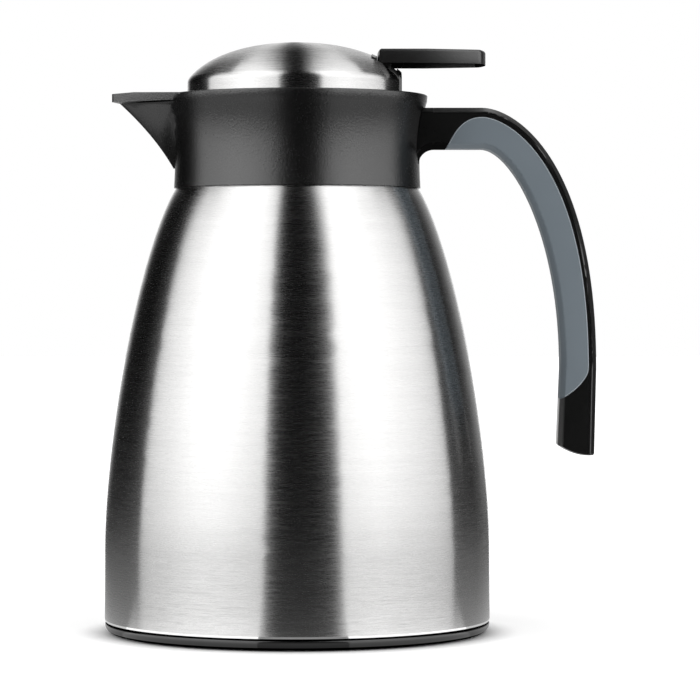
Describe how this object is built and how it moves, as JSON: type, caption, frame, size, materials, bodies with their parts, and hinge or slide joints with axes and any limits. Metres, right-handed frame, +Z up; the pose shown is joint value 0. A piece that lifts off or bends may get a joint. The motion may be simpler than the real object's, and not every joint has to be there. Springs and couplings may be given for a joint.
{
  "type": "thermal carafe",
  "caption": "Vacuum carafe with a steel body, pouring beak, open handle with a soft grip, and a screw-in lid whose thumb lever lifts a sprung pouring valve.",
  "frame": {"origin": "centre of the base pad's underside, on the jug's axis", "axes": "+Z up along the jug's axis, -X towards the beak's tip, +X towards the handle, so +Y is across the width"},
  "size_m": [0.1911, 0.15, 0.2295],
  "materials": {
    "brushed_shell": "fine circular brushing, satin",
    "flask_steel": "drawn and pickled, matt",
    "glass_bead": "solder glass",
    "black_plastic": "fine spark-eroded grain",
    "grip_grey": "soft-touch elastomer",
    "pad_rubber": "matt rubber",
    "silicone": "translucent silicone",
    "screw_steel": "bright stainless"
  },
  "bodies": {
    "jug": {"outer_shell": "brushed_shell", "inner_flask": "flask_steel", "shell_bottom": "flask_steel", "getter": "flask_steel", "vacuum_seal_bead": "glass_bead", "base_cup": "black_plastic", "base_pad": "pad_rubber", "collar": "black_plastic", "neck_gasket": "silicone", "handle_frame": "black_plastic", "handle_back_cover": "black_plastic", "grip_insert": "grip_grey", "handle_screws": "screw_steel"},
    "lid_gasket": {"lid_gasket": "silicone"},
    "lid": {"lid_dome": "brushed_shell", "lid_deck": "black_plastic", "stopper_tube": "black_plastic", "stopper_bottom": "black_plastic", "stopper_seal": "silicone", "stem_seal": "silicone", "deck_screws": "screw_steel", "housing_screws": "screw_steel", "lever_housing": "black_plastic", "lever_pin": "screw_steel", "valve_spring": "screw_steel"},
    "lever": {"thumb_lever": "black_plastic"},
    "valve": {"valve_stem": "screw_steel", "stem_cap": "black_plastic", "valve_disc": "black_plastic", "valve_seal": "silicone"}
  },
  "joints": [
    {"name": "lid_rise", "type": "slide", "parent": "jug", "child": "lid_gasket", "axis": [0, 0, 1], "range_m": [0, 0.036]},
    {"name": "lid_turn", "type": "hinge", "parent": "lid_gasket", "child": "lid", "pos_m": [0, 0, 0.2], "axis": [0, 0, 1], "range_deg": [0, 540]},
    {"name": "lever_press", "type": "hinge", "parent": "lid", "child": "lever", "pos_m": [0.0334, 0, 0.2146], "axis": [0, 1, 0], "range_deg": [0, 10]},
    {"name": "valve_lift", "type": "slide", "parent": "lid", "child": "valve", "axis": [0, 0, 1], "range_m": [0, 0.0058], "stiffness_N_per_m": 10, "springref_m": -0.01, "deforming": ["valve_spring"]}
  ],
  "couplings": [
    {"joint": "lid_turn", "follows": "lid_rise", "rad_per_m": 261.8},
    {"joint": "lever_press", "follows": "valve_lift", "rad_per_m": 30.09}
  ]
}
